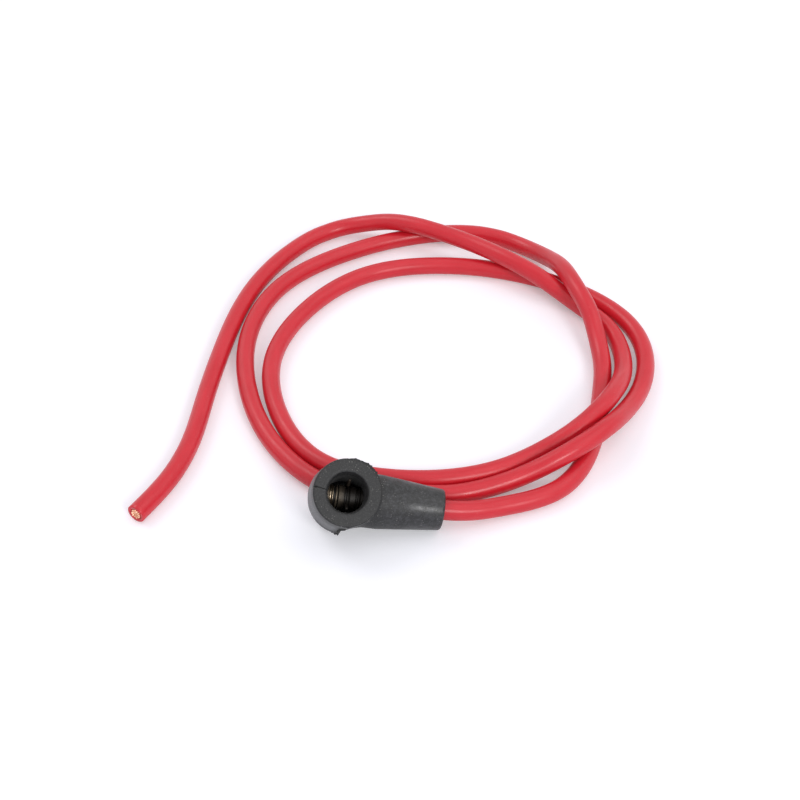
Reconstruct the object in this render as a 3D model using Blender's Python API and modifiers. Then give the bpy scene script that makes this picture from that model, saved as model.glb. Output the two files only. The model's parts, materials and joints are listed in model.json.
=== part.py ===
"""Right-angle rubber spark plug cap on its ignition lead, lying on a surface.

The moulded cap holds a ribbed contact sleeve across the bottom of its socket, with a wire clip that
grips the plug's terminal. The lead runs from the neck in loose turns to a bare cut end.
Metres, +Z up, the surface at Z = 0, the cap's own box centred on the origin.
In the cap's own frame the neck runs along +X, the mouth faces +Z and both axes meet at the centre.
"""
from math import cos, pi, radians, sin, sqrt

import bmesh
import bpy
import numpy as np
from mathutils import Vector

# Clearances
FIT_GAP = 0.0003
CUT_OVERRUN = 0.002

# Head of the moulded cap: a boss that narrows from the mouth, inside a fuller round end away from the neck
MOUTH_RADIUS = 0.0116
MOUTH_HEIGHT = 0.0125
MOUTH_EDGE_RADIUS = 0.0004
BACK_DEPTH = 0.0097
BOSS_RADIUS = 0.0109
BOSS_BACK_RADIUS = 0.01047
BOSS_EDGE_RADIUS = 0.0020
BELT_RADIUS = 0.0123
BACK_RADIUS = 0.0118
BACK_EDGE_RADIUS = 0.0040
ROUND_END_LIMIT = -0.0010
ROUND_END_DROP = 0.0008
SOCKET_RADIUS = 0.0064
SOCKET_MOUTH_RADIUS = 0.0070
SOCKET_ENTRY_DEPTH = 0.0030
SOCKET_LIP_RADIUS = 0.0004
SOCKET_DEPTH = 0.0195
SOCKET_CORNER_RADIUS = 0.0015

# Neck of the moulded cap
NECK_LENGTH = 0.0345
NECK_ROOT_RADIUS = 0.0094
NECK_END_RADIUS = 0.0072
NECK_EDGE_RADIUS = 0.0010
NECK_START = 0.0020

# Ragged flash left by the mould, and the slit in the mouth
RIM_FLASH_THICKNESS = 0.0005
RIM_FLASH_DROP = 0.0001
RIM_FLASH_OVERLAP = 0.0008
RIM_FLASH_RIPPLE = 0.00005
RIM_FLASH_NIBS = (
    # angle in degrees, half width in degrees, height
    (91.0, 6.0, 0.00055),
    (77.0, 5.0, 0.00025),
    (65.0, 5.0, 0.00055),
    (56.0, 5.5, 0.00080),
    (46.0, 5.0, 0.00060),
    (38.0, 4.0, 0.00025),
    (-84.0, 7.0, 0.00045),
    (-133.0, 5.0, 0.00030),
)
RIM_FLASH_POINTS = 120
FLASH_TAB_THICKNESS = 0.0008
FLASH_TAB_OUTLINE = (
    # angle in degrees, height above the head's belt
    (-138.0, -0.0006),
    (-130.0, 0.0002),
    (-121.0, 0.0003),
    (-113.0, 0.0002),
    (-104.0, 0.0005),
    (-96.0, 0.0007),
    (-92.5, 0.0011),
    (-90.0, 0.0002),
    (-87.5, -0.0008),
    (-80.0, -0.0009),
    (-78.0, -0.0018),
)
SLIT_ANGLE = 175.5
SLIT_WIDTH = 0.0003
SLIT_DEPTH = 0.0014

# Contact sleeve
SLEEVE_RADIUS = 0.0041
SLEEVE_RIB_RADIUS = 0.0040
SLEEVE_GROOVE_RADIUS = 0.0036
SLEEVE_START = -0.0060
SLEEVE_END = 0.0120
SLEEVE_BAND_LENGTH = 0.0021
SLEEVE_GROOVE_LENGTH = 0.0008
SLEEVE_RIB_LENGTH = 0.0006
SLEEVE_NICK_LENGTH = 0.00035
SLEEVE_RIB_COUNT = 3
SLEEVE_EDGE = 0.00015
SLEEVE_BLIND_END = 0.0020

# Wire clip that grips the plug's terminal
CLIP_WIRE_RADIUS = 0.0005
CLIP_STATION = 0.0006
CLIP_TIP_HEIGHT = 0.0086
CLIP_PINCH_HEIGHT = 0.0064
CLIP_LEG_HEIGHT = 0.0034
CLIP_PINCH_HALF_GAP = 0.0030
CLIP_BEND_POINTS = 12

# Ignition lead
LEAD_RADIUS = 0.0035
CONDUCTOR_RADIUS = 0.0020
CONDUCTOR_RECESS = 0.0003
LEAD_PITCH = 0.0210
LEAD_GROUND_CLEARANCE = 0.0001

# Pose of the cap on the surface: how far the mouth leans over towards -Y about the neck
MOUTH_LEAN = radians(35.5)

# Route of the lead's centre line, chosen by hand: X and Y from the middle of the neck's end face,
# and the height above the surface. The turns cross in low humps.
LEAD_ROUTE = (
    (0.0105, 0.0012, 0.0053),
    (0.0205, 0.0042, 0.0041),
    (0.0415, 0.0130, 0.0036),
    (0.0555, 0.0360, 0.0036),
    (0.0617, 0.0640, 0.0036),
    (0.0635, 0.0800, 0.0039),
    (0.0625, 0.0920, 0.0063),
    (0.0599, 0.1033, 0.0110),
    (0.0558, 0.1140, 0.0135),
    (0.0520, 0.1270, 0.0126),
    (0.0475, 0.1400, 0.0080),
    (0.0395, 0.1520, 0.0042),
    (0.0245, 0.1615, 0.0036),
    (-0.0065, 0.1618, 0.0036),
    (-0.0375, 0.1495, 0.0036),
    (-0.0625, 0.1285, 0.0036),
    (-0.0740, 0.0980, 0.0036),
    (-0.0725, 0.0670, 0.0036),
    (-0.0607, 0.0360, 0.0036),
    (-0.0505, 0.0229, 0.0036),
    (-0.0410, 0.0155, 0.0036),
    (-0.0295, 0.0120, 0.0036),
    (-0.0115, 0.0108, 0.0036),
    (0.0030, 0.0105, 0.0036),
    (0.0175, 0.0138, 0.0040),
    (0.0315, 0.0188, 0.0060),
    (0.0425, 0.0230, 0.0096),
    (0.0528, 0.0292, 0.0118),
    (0.0610, 0.0372, 0.0114),
    (0.0685, 0.0490, 0.0074),
    (0.0747, 0.0606, 0.0048),
    (0.0803, 0.0800, 0.0036),
    (0.0775, 0.1010, 0.0036),
    (0.0615, 0.1210, 0.0036),
    (0.0335, 0.1360, 0.0036),
    (0.0015, 0.1413, 0.0036),
    (-0.0285, 0.1350, 0.0036),
    (-0.0510, 0.1140, 0.0036),
    (-0.0635, 0.0840, 0.0036),
    (-0.0600, 0.0528, 0.0036),
    (-0.0405, 0.0248, 0.0036),
    (-0.0235, 0.0191, 0.0036),
    (-0.0055, 0.0177, 0.0036),
    (0.0205, 0.0228, 0.0036),
    (0.0365, 0.0308, 0.0049),
    (0.0485, 0.0372, 0.0087),
    (0.0575, 0.0448, 0.0114),
    (0.0647, 0.0560, 0.0104),
    (0.0700, 0.0700, 0.0065),
    (0.0716, 0.0860, 0.0039),
    (0.0680, 0.1010, 0.0036),
    (0.0580, 0.1138, 0.0044),
    (0.0470, 0.1230, 0.0076),
    (0.0385, 0.1288, 0.0104),
    (0.0280, 0.1366, 0.0116),
    (0.0145, 0.1470, 0.0112),
    (0.0015, 0.1540, 0.0116),
    (-0.0095, 0.1592, 0.0115),
    (-0.0185, 0.1636, 0.0097),
    (-0.0285, 0.1670, 0.0064),
    (-0.0395, 0.1668, 0.0042),
    (-0.0605, 0.1505, 0.0036),
    (-0.0760, 0.1220, 0.0036),
    (-0.0840, 0.0880, 0.0036),
    (-0.0880, 0.0600, 0.0036),
    (-0.0910, 0.0370, 0.0036),
    (-0.0965, 0.0190, 0.0036),
    (-0.1065, 0.0010, 0.0036),
)

# Fineness of the round shapes
HEAD_SEGMENTS = 56
NECK_SEGMENTS = 48
SLEEVE_SEGMENTS = 32
CORNER_POINTS = 5
JACKET_SIDES_RESOLUTION = 3
CORE_SIDES_RESOLUTION = 2
MERGE_DISTANCE = 0.000001
SHARP_ANGLE = radians(32)


def clear_scene():
    """Remove every object the file starts with."""
    for thing in list(bpy.data.objects):
        bpy.data.objects.remove(thing, do_unlink=True)


def make_collection(name):
    """Make a collection in the scene."""
    collection = bpy.data.collections.new(name)
    bpy.context.scene.collection.children.link(collection)
    return collection


def make_material(name, color, roughness, metallic):
    """Make a Principled material."""
    material = bpy.data.materials.new(name)
    material.use_nodes = True
    shader = material.node_tree.nodes["Principled BSDF"]
    shader.inputs["Base Color"].default_value = (*color, 1.0)
    shader.inputs["Roughness"].default_value = roughness
    shader.inputs["Metallic"].default_value = metallic
    return material


def place(thing, collection, material=None, parent=None):
    """Link an object, give it its material and hang it on its parent."""
    collection.objects.link(thing)
    if material is not None:
        thing.data.materials.append(material)
    if parent is not None:
        thing.parent = parent
    return thing


def as_cutter(thing):
    """Mark an object that only shapes others."""
    thing.hide_render = True
    thing.display_type = "WIRE"
    return thing


def arc(center, radius, start, end, points=CORNER_POINTS):
    """Points of an arc in a profile, angles in degrees from the outward direction."""
    steps = [start + (end - start) * i / (points - 1) for i in range(points)]
    return [(center[0] + radius * cos(radians(a)), center[1] + radius * sin(radians(a))) for a in steps]


def turned(name, profile, segments):
    """A solid of revolution about its own Z from a profile of (radius, height), top to bottom."""
    mesh = bpy.data.meshes.new(name)
    shape = bmesh.new()
    corners = [shape.verts.new((radius, 0.0, height)) for radius, height in profile]
    for first, second in zip(corners, corners[1:]):
        shape.edges.new((first, second))
    shape.to_mesh(mesh)
    shape.free()
    thing = bpy.data.objects.new(name, mesh)
    screw = thing.modifiers.new("turn", "SCREW")
    screw.axis = "Z"
    screw.steps = segments
    screw.render_steps = segments
    screw.use_merge_vertices = True
    screw.merge_threshold = MERGE_DISTANCE
    screw.use_smooth_shade = False
    return thing


def add_boolean(thing, other, operation):
    """Join another solid to a piece, or cut it out."""
    step = thing.modifiers.new(other.name, "BOOLEAN")
    step.operation = operation
    step.solver = "EXACT"
    step.object = other


def curve_object(name, points, radius, resolution, capped):
    """A round bar along a line of points."""
    data = bpy.data.curves.new(name, "CURVE")
    data.dimensions = "3D"
    data.bevel_depth = radius
    data.bevel_resolution = resolution
    data.use_fill_caps = capped
    spline = data.splines.new("POLY")
    spline.points.add(len(points) - 1)
    for target, point in zip(spline.points, points):
        target.co = (*point, 1.0)
    return bpy.data.objects.new(name, data)


def flat_outline(name, points, thickness, collection):
    """A flat plate with the given outline, as a welded mesh, its middle at its own Z = 0."""
    data = bpy.data.curves.new(name, "CURVE")
    data.dimensions = "2D"
    data.fill_mode = "BOTH"
    data.extrude = thickness / 2
    spline = data.splines.new("POLY")
    spline.points.add(len(points) - 1)
    for target, point in zip(spline.points, points):
        target.co = (point[0], point[1], 0.0, 1.0)
    spline.use_cyclic_u = True
    return mesh_from_curve(bpy.data.objects.new(name, data), collection)


def mesh_from_curve(curve, collection):
    """Swap a curve for its welded mesh, in the same place."""
    name = curve.name
    collection.objects.link(curve)
    graph = bpy.context.evaluated_depsgraph_get()
    mesh = bpy.data.meshes.new_from_object(curve.evaluated_get(graph))
    welded = bmesh.new()
    welded.from_mesh(mesh)
    bmesh.ops.remove_doubles(welded, verts=welded.verts, dist=MERGE_DISTANCE)
    bmesh.ops.recalc_face_normals(welded, faces=welded.faces)
    welded.to_mesh(mesh)
    welded.free()
    matrix = curve.matrix_world.copy()
    collection.objects.unlink(curve)
    bpy.data.objects.remove(curve)
    thing = bpy.data.objects.new(name, mesh)
    thing.matrix_world = matrix
    return thing


def shade_round(thing):
    """Shade a round mesh smooth, with its edges kept sharp."""
    thing.data.shade_smooth()
    thing.data.set_sharp_from_angle(angle=SHARP_ANGLE)


def boss_profile():
    """The head's inner form: it narrows from the mouth to the back."""
    edge = MOUTH_EDGE_RADIUS
    corner = BOSS_EDGE_RADIUS
    return (
        [(0.0, MOUTH_HEIGHT)]
        + arc((MOUTH_RADIUS - edge, MOUTH_HEIGHT - edge), edge, 90, 0, 3)
        + [(BOSS_RADIUS, 0.0)]
        + arc((BOSS_BACK_RADIUS - corner, corner - BACK_DEPTH), corner, 0, -90)
        + [(0.0, -BACK_DEPTH)]
    )


def round_end_profile():
    """The fuller end away from the neck, drafted from the mould's parting belt to the mouth and to the back."""
    top = MOUTH_HEIGHT - ROUND_END_DROP
    corner = BACK_EDGE_RADIUS
    return (
        [(0.0, top), (MOUTH_RADIUS, top), (BELT_RADIUS, 0.0)]
        + arc((BACK_RADIUS - corner, corner - BACK_DEPTH), corner, 0, -90, 7)
        + [(0.0, -BACK_DEPTH)]
    )


def neck_profile():
    """Outer shape of the neck, from its end face back into the head, along its own Z."""
    edge = NECK_EDGE_RADIUS
    return (
        [(0.0, NECK_LENGTH)]
        + arc((NECK_END_RADIUS - edge, NECK_LENGTH - edge), edge, 90, 0)
        + [(NECK_ROOT_RADIUS, BELT_RADIUS), (NECK_ROOT_RADIUS, NECK_START), (0.0, NECK_START)]
    )


def socket_profile():
    """The socket that the plug's terminal enters, wider at the mouth and with a rounded lip."""
    lip = SOCKET_LIP_RADIUS
    corner = SOCKET_CORNER_RADIUS
    bottom = MOUTH_HEIGHT - SOCKET_DEPTH
    above = MOUTH_HEIGHT + CUT_OVERRUN
    return (
        [(0.0, above), (SOCKET_MOUTH_RADIUS + lip, above)]
        + arc((SOCKET_MOUTH_RADIUS + lip, MOUTH_HEIGHT - lip), lip, 90, 180, 3)
        + [(SOCKET_RADIUS, MOUTH_HEIGHT - SOCKET_ENTRY_DEPTH)]
        + arc((SOCKET_RADIUS - corner, bottom + corner), corner, 0, -90)
        + [(0.0, bottom)]
    )


def rod_profile(radius, top, bottom):
    """A plain cylinder's profile."""
    return [(0.0, top), (radius, top), (radius, bottom), (0.0, bottom)]


def along_neck(thing):
    """Turn a piece made along its own Z to lie along the neck."""
    thing.rotation_euler = (0.0, pi / 2, 0.0)
    return thing


def rim_flash_points():
    """Outline of the ragged skin of rubber round the mouth's edge."""
    points = []
    for i in range(RIM_FLASH_POINTS):
        degrees_round = 360.0 * i / RIM_FLASH_POINTS
        angle = radians(degrees_round)
        height = -RIM_FLASH_OVERLAP / 8 + RIM_FLASH_RIPPLE * (sin(7 * angle) + sin(19 * angle + 1.0))
        for nib_angle, half_width, nib_height in RIM_FLASH_NIBS:
            away = abs((degrees_round - nib_angle + 180.0) % 360.0 - 180.0)
            height += nib_height * max(0.0, 1.0 - away / half_width)
        radius = MOUTH_RADIUS + height
        points.append((radius * cos(angle), radius * sin(angle)))
    return points


def flash_tab_points():
    """Outline of the torn tab of rubber on the mould's parting line."""
    outer = []
    for degrees_round, height in FLASH_TAB_OUTLINE:
        angle = radians(degrees_round)
        radius = BELT_RADIUS + height
        outer.append((radius * cos(angle), radius * sin(angle)))
    middle = radians((FLASH_TAB_OUTLINE[0][0] + FLASH_TAB_OUTLINE[-1][0]) / 2)
    root = BELT_RADIUS - 4 * RIM_FLASH_OVERLAP
    return outer + [(root * cos(middle), root * sin(middle))]


def block(name, low, high):
    """A plain block between two corners."""
    shape = bmesh.new()
    bmesh.ops.create_cube(shape, size=1.0)
    bmesh.ops.scale(shape, verts=shape.verts, vec=[b - a for a, b in zip(low, high)])
    bmesh.ops.translate(shape, verts=shape.verts, vec=[(a + b) / 2 for a, b in zip(low, high)])
    mesh = bpy.data.meshes.new(name)
    shape.to_mesh(mesh)
    shape.free()
    return bpy.data.objects.new(name, mesh)


def slit_cutter():
    """A thin blade for the slit that runs across the mouth's face from the socket to the rim."""
    inner = SOCKET_RADIUS - CUT_OVERRUN / 2
    outer = BELT_RADIUS + CUT_OVERRUN
    low = (inner, -SLIT_WIDTH / 2, MOUTH_HEIGHT - SLIT_DEPTH)
    high = (outer, SLIT_WIDTH / 2, MOUTH_HEIGHT + SLIT_DEPTH)
    blade = block("slit_blade", low, high)
    blade.rotation_euler = (0.0, 0.0, radians(SLIT_ANGLE))
    return blade


def make_round_end(cutters, root):
    """The head's fuller end, cut off square beside the neck."""
    end = turned("round_end", round_end_profile(), HEAD_SEGMENTS)
    reach = BELT_RADIUS + CUT_OVERRUN
    trim = block("round_end_trim", (ROUND_END_LIMIT, -reach, -reach), (reach, reach, reach))
    place(as_cutter(trim), cutters, None, root)
    add_boolean(end, trim, "DIFFERENCE")
    return end


def make_cap(parts, cutters, root, material):
    """The moulded rubber cap: head and neck in one, with its socket, seats, flash and slit."""
    cap = place(turned("rubber_cap", boss_profile(), HEAD_SEGMENTS), parts, material, root)
    round_end = make_round_end(cutters, root)
    neck = along_neck(turned("neck_form", neck_profile(), NECK_SEGMENTS))
    rim = flat_outline("rim_flash", rim_flash_points(), RIM_FLASH_THICKNESS, cutters)
    rim.location.z = MOUTH_HEIGHT - RIM_FLASH_DROP - RIM_FLASH_THICKNESS / 2
    tab = flat_outline("flash_tab", flash_tab_points(), FLASH_TAB_THICKNESS, cutters)
    socket = turned("socket_hole", socket_profile(), HEAD_SEGMENTS)
    seat_profile = rod_profile(SLEEVE_RADIUS + FIT_GAP, SLEEVE_END + FIT_GAP, SLEEVE_START - FIT_GAP)
    seat = along_neck(turned("sleeve_seat", seat_profile, SLEEVE_SEGMENTS))
    passage_profile = rod_profile(LEAD_RADIUS + FIT_GAP, NECK_LENGTH + CUT_OVERRUN, SLEEVE_END / 2)
    passage = along_neck(turned("lead_passage", passage_profile, SLEEVE_SEGMENTS))
    for form, operation in ((round_end, "UNION"), (neck, "UNION"), (rim, "UNION"), (tab, "UNION"),
                            (socket, "DIFFERENCE"), (seat, "DIFFERENCE"), (passage, "DIFFERENCE"),
                            (slit_cutter(), "DIFFERENCE")):
        place(as_cutter(form), cutters, None, root)
        add_boolean(cap, form, operation)
    return cap


def sleeve_profile():
    """Outer ribs of the sleeve and the blind hole for the lead's conductor, along its own Z."""
    edge = SLEEVE_EDGE
    hole = CONDUCTOR_RADIUS + FIT_GAP
    ribs = []
    station = SLEEVE_START
    for _ in range(SLEEVE_RIB_COUNT):
        band_end = station + SLEEVE_BAND_LENGTH
        rib_start = band_end + SLEEVE_GROOVE_LENGTH
        rib_end = rib_start + SLEEVE_RIB_LENGTH
        ribs += [(SLEEVE_RADIUS - edge, station), (SLEEVE_RADIUS, station + edge)]
        ribs += [(SLEEVE_RADIUS, band_end - edge), (SLEEVE_RADIUS - edge, band_end)]
        ribs += [(SLEEVE_GROOVE_RADIUS, band_end + edge), (SLEEVE_GROOVE_RADIUS, rib_start - edge)]
        ribs += [(SLEEVE_RIB_RADIUS, rib_start), (SLEEVE_RIB_RADIUS, rib_end)]
        station = rib_end + SLEEVE_NICK_LENGTH
        ribs += [(SLEEVE_GROOVE_RADIUS, rib_end + edge / 2), (SLEEVE_GROOVE_RADIUS, station - edge / 2)]
    shank = [(SLEEVE_RADIUS - edge, station), (SLEEVE_RADIUS, station + edge)]
    shank += [(SLEEVE_RADIUS, SLEEVE_END - edge), (SLEEVE_RADIUS - edge, SLEEVE_END)]
    return (
        [(0.0, SLEEVE_BLIND_END), (hole, SLEEVE_BLIND_END), (hole, SLEEVE_END)]
        + list(reversed(ribs + shank))
        + [(0.0, SLEEVE_START)]
    )


def make_sleeve(parts, root, material):
    """The ribbed metal sleeve on the end of the conductor, across the bottom of the socket."""
    return place(along_neck(turned("contact_sleeve", sleeve_profile(), SLEEVE_SEGMENTS)), parts, material, root)


def clip_points():
    """The clip's centre line: up one leg, round behind the sleeve and up the other leg."""
    reach = SLEEVE_RADIUS + FIT_GAP + CLIP_WIRE_RADIUS
    pinch = CLIP_PINCH_HALF_GAP + CLIP_WIRE_RADIUS
    leg = [
        (reach, CLIP_TIP_HEIGHT),
        ((reach + pinch) / 2, (CLIP_TIP_HEIGHT + CLIP_PINCH_HEIGHT) / 2),
        (pinch, CLIP_PINCH_HEIGHT),
        ((3 * reach + pinch) / 4, (3 * CLIP_LEG_HEIGHT + CLIP_PINCH_HEIGHT) / 4),
        (reach, CLIP_LEG_HEIGHT / 2),
    ]
    bend = arc((0.0, 0.0), reach, 0, -180, CLIP_BEND_POINTS)
    other = [(-across, height) for across, height in reversed(leg)]
    return [(CLIP_STATION, across, height) for across, height in leg + bend + other]


def make_clip(parts, root, material):
    """The wire clip round the sleeve, whose legs pinch the plug's terminal."""
    wire = curve_object("plug_clip", clip_points(), CLIP_WIRE_RADIUS, CORE_SIDES_RESOLUTION, True)
    return place(wire, parts, material, root)


def head_bearing_height(drop):
    """Height of the axes' crossing when the boss's back edge touches the surface."""
    upright = cos(drop) * cos(MOUTH_LEAN)
    corner = BOSS_EDGE_RADIUS
    ring = BOSS_BACK_RADIUS - corner
    return (BACK_DEPTH - corner) * upright + ring * sqrt(1 - upright**2) + corner


def neck_bearing_height(drop):
    """Height of the axes' crossing when the neck's end touches the surface."""
    edge = NECK_EDGE_RADIUS
    return (NECK_LENGTH - edge) * sin(drop) + (NECK_END_RADIUS - edge) * cos(drop) + edge


def resting_drop():
    """Slope of the neck at which head and neck both touch the surface, by halving the range."""
    low, high = 0.0, radians(40)
    for _ in range(50):
        middle = (low + high) / 2
        if neck_bearing_height(middle) < head_bearing_height(middle):
            low = middle
        else:
            high = middle
    return (low + high) / 2


def stand_on_origin(root, cap):
    """Move the cap so that its own box stands on the surface, centred on the origin."""
    bpy.context.view_layer.update()
    shape = cap.evaluated_get(bpy.context.evaluated_depsgraph_get())
    corners = np.array([shape.matrix_world @ corner.co for corner in shape.data.vertices])
    low, high = corners.min(axis=0), corners.max(axis=0)
    root.location -= Vector(((low[0] + high[0]) / 2, (low[1] + high[1]) / 2, low[2]))
    bpy.context.view_layer.update()


def smooth_curve(points, samples=4000):
    """A natural cubic through the points, read finely, with the distance of each point along it."""
    points = np.array(points)
    along = np.concatenate(([0.0], np.cumsum(np.linalg.norm(np.diff(points, axis=0), axis=1))))
    spans = np.diff(along)
    count = len(points)
    matrix = np.eye(count)
    bends = np.zeros((count, 3))
    slopes = np.diff(points, axis=0) / spans[:, None]
    for i in range(1, count - 1):
        matrix[i, i - 1:i + 2] = (spans[i - 1], 2 * (spans[i - 1] + spans[i]), spans[i])
        bends[i] = 6 * (slopes[i] - slopes[i - 1])
    bends = np.linalg.solve(matrix, bends)
    places = np.union1d(np.linspace(0.0, along[-1], samples), along)
    span = np.clip(np.searchsorted(along, places, side="right") - 1, 0, count - 2)
    width = spans[span][:, None]
    before = (places - along[span])[:, None]
    after = (along[span + 1] - places)[:, None]
    line = (bends[span] * after**3 + bends[span + 1] * before**3) / (6 * width)
    line += (points[span] / width - bends[span] * width / 6) * after
    line += (points[span + 1] / width - bends[span + 1] * width / 6) * before
    return line, np.searchsorted(places, along)


def lead_line(start, neck_axis, exit_point):
    """The lead's centre line from a place in the neck to its cut end, as tube points."""
    inside = (exit_point - start).length
    straight = [start + neck_axis * inside * share for share in (0.0, 0.5, 1.0)]
    loose = [Vector((exit_point.x + x, exit_point.y + y, z)) for x, y, z in LEAD_ROUTE]
    line, knots = smooth_curve(straight + loose)
    lowest = LEAD_RADIUS + LEAD_GROUND_CLEARANCE
    line[:, 2] = np.maximum(line[:, 2], lowest)
    travelled = np.concatenate(([0.0], np.cumsum(np.linalg.norm(np.diff(line, axis=0), axis=1))))
    points = [line[0]]
    for first, last in zip(knots, knots[1:]):
        pieces = max(1, round((travelled[last] - travelled[first]) / LEAD_PITCH))
        for i in range(1, pieces + 1):
            goal = travelled[first] + (travelled[last] - travelled[first]) * i / pieces
            points.append(line[np.searchsorted(travelled, goal)] if i < pieces else line[last])
    return [Vector(point) for point in points]


def make_lead(parts, root, jacket_material, conductor_material):
    """The lead: a jacket from the sleeve's end to the cut end, and the conductor inside it."""
    frame = root.matrix_world
    neck_axis = (frame.to_3x3() @ Vector((1.0, 0.0, 0.0))).normalized()
    exit_point = frame @ Vector((NECK_LENGTH, 0.0, 0.0))
    jacket_start = frame @ Vector((SLEEVE_END + FIT_GAP, 0.0, 0.0))
    conductor_start = frame @ Vector((SLEEVE_BLIND_END + FIT_GAP, 0.0, 0.0))

    line = lead_line(jacket_start, neck_axis, exit_point)
    tube = curve_object("lead_jacket", line, LEAD_RADIUS, JACKET_SIDES_RESOLUTION, False)
    jacket = place(mesh_from_curve(tube, parts), parts, jacket_material)
    wall = jacket.modifiers.new("wall", "SOLIDIFY")
    wall.thickness = LEAD_RADIUS - CONDUCTOR_RADIUS - FIT_GAP
    wall.offset = -1.0
    wall.use_even_offset = False
    shade_round(jacket)

    ending = (line[-1] - line[-2]).normalized()
    core_line = [conductor_start] + line[:-1] + [line[-1] - ending * CONDUCTOR_RECESS]
    core = curve_object("lead_conductor", core_line, CONDUCTOR_RADIUS, CORE_SIDES_RESOLUTION, True)
    place(core, parts, conductor_material)


def main():
    """Build the cap in its resting pose, then lay the lead from it."""
    clear_scene()
    parts = make_collection("spark_plug_cap")
    cutters = make_collection("cutters")
    rubber = make_material("rubber", (0.045, 0.045, 0.046), 0.55, 0.0)
    contact_metal = make_material("contact_metal", (0.42, 0.37, 0.30), 0.30, 1.0)
    clip_metal = make_material("clip_metal", (0.60, 0.40, 0.27), 0.35, 1.0)
    jacket_red = make_material("jacket_red", (0.62, 0.03, 0.055), 0.38, 0.0)
    copper = make_material("copper", (0.80, 0.43, 0.28), 0.35, 1.0)

    root = bpy.data.objects.new("cap_root", None)
    parts.objects.link(root)
    root.rotation_euler = (MOUTH_LEAN, resting_drop(), 0.0)

    cap = make_cap(parts, cutters, root, rubber)
    make_sleeve(parts, root, contact_metal)
    make_clip(parts, root, clip_metal)
    stand_on_origin(root, cap)
    make_lead(parts, root, jacket_red, copper)


main()
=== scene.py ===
import json
from math import cos, pi, radians, sin

import bpy
import numpy as np
from mathutils import Matrix, Vector

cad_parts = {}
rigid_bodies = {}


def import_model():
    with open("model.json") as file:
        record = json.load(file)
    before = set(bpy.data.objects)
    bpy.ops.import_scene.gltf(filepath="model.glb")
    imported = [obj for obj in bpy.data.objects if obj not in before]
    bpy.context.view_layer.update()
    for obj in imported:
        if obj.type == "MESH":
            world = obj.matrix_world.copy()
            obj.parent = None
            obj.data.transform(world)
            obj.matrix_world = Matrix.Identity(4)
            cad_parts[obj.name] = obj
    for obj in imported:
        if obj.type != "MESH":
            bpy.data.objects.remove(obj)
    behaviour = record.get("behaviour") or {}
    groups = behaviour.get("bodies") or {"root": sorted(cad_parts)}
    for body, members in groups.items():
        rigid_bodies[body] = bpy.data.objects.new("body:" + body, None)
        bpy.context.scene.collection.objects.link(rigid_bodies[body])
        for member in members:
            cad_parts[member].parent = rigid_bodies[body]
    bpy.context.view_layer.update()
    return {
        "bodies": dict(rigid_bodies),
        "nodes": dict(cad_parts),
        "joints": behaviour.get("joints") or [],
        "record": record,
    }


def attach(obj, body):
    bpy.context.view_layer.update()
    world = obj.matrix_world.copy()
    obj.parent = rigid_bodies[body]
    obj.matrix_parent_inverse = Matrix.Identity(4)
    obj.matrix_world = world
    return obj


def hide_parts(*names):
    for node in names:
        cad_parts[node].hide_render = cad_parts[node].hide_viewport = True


MM = 0.001

# Sizes of the cap, in millimetres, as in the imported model. In the cap's own frame the neck runs along
# +X, the mouth faces +Z and both axes meet at the centre.
MOUTH_RADIUS = 11.6
BELT_RADIUS = 12.3
BACK_RADIUS = 11.8
MOUTH_HEIGHT = 12.5
BACK_DEPTH = 9.7
BACK_EDGE = 4.0
BOSS_RADIUS = 10.9
BOSS_BACK_RADIUS = 10.47
BOSS_EDGE = 2.0
ROUND_END = -1.0
MOUTH_EDGE = 0.4
SOCKET_RADIUS = 6.4
SOCKET_MOUTH_RADIUS = 7.0
SOCKET_ENTRY_DEPTH = 3.0
SOCKET_LIP = 0.4
SOCKET_DEPTH = 19.5
SOCKET_CORNER = 1.5
NECK_LENGTH = 34.5
NECK_ROOT_RADIUS = 9.4
NECK_END_RADIUS = 7.2
NECK_EDGE = 1.0
NECK_START = 2.0
FIT_GAP = 0.3
SLEEVE_RADIUS = 4.1
SLEEVE_RIB = 4.0
SLEEVE_GROOVE = 3.6
SLEEVE_START = -6.0
SLEEVE_END = 12.0
SLEEVE_BLIND_END = 2.0
CLIP_WIRE = 0.5
CLIP_STATION = 0.6
CLIP_TIP = 8.6
CLIP_PINCH = 6.4
CLIP_LEG = 3.4
CLIP_HALF_GAP = 3.0
SLIT_ANGLE = 175.5
SLIT_DEPTH = 1.4
SLIT_HALF = 0.23
SLIT_NOTCH = 0.42
SLIT_LEAN = 0.085
LEAD_RADIUS = 3.5
CONDUCTOR_RADIUS = 2.0

# Sizes of detail that only this finer model has, in millimetres
SOCKET_WEAR = 0.25
PASSAGE_CHAMFER = 0.35
TORN_WAVE = 0.22
MOULD_WAVE = 0.022
CUT_REACH = 3.0
RIM_FLASH_DROP = 0.34
RIM_FLASH_THICKNESS = 0.42
TAB_FLASH_HEIGHT = -0.1
TAB_FLASH_THICKNESS = 0.9
FLASH_ROOT = 3.0
LEAD_STEP = 1.5
LEAD_SIDES = 32
LEAD_UNEVEN = 0.025
CUT_ROUND = 0.16
STRAND_RADIUS = 0.405
STRAND_SIDES = 8
STRAND_LAY = 60.0

# The cells that the cap's surface is made in, and the box that they fill, in the cap's own frame
CAP_STEP = 0.30
CAP_LOW = (-13.6, -13.6, -10.3)
CAP_HIGH = (35.3, 13.4, 13.2)

# The pressed pattern along the sleeve, three times over: length and radius of each band
SLEEVE_REPEATS = 3
SLEEVE_PATTERN = ((2.1, SLEEVE_RADIUS), (0.8, SLEEVE_GROOVE), (0.6, SLEEVE_RIB), (0.35, SLEEVE_GROOVE))
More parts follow.
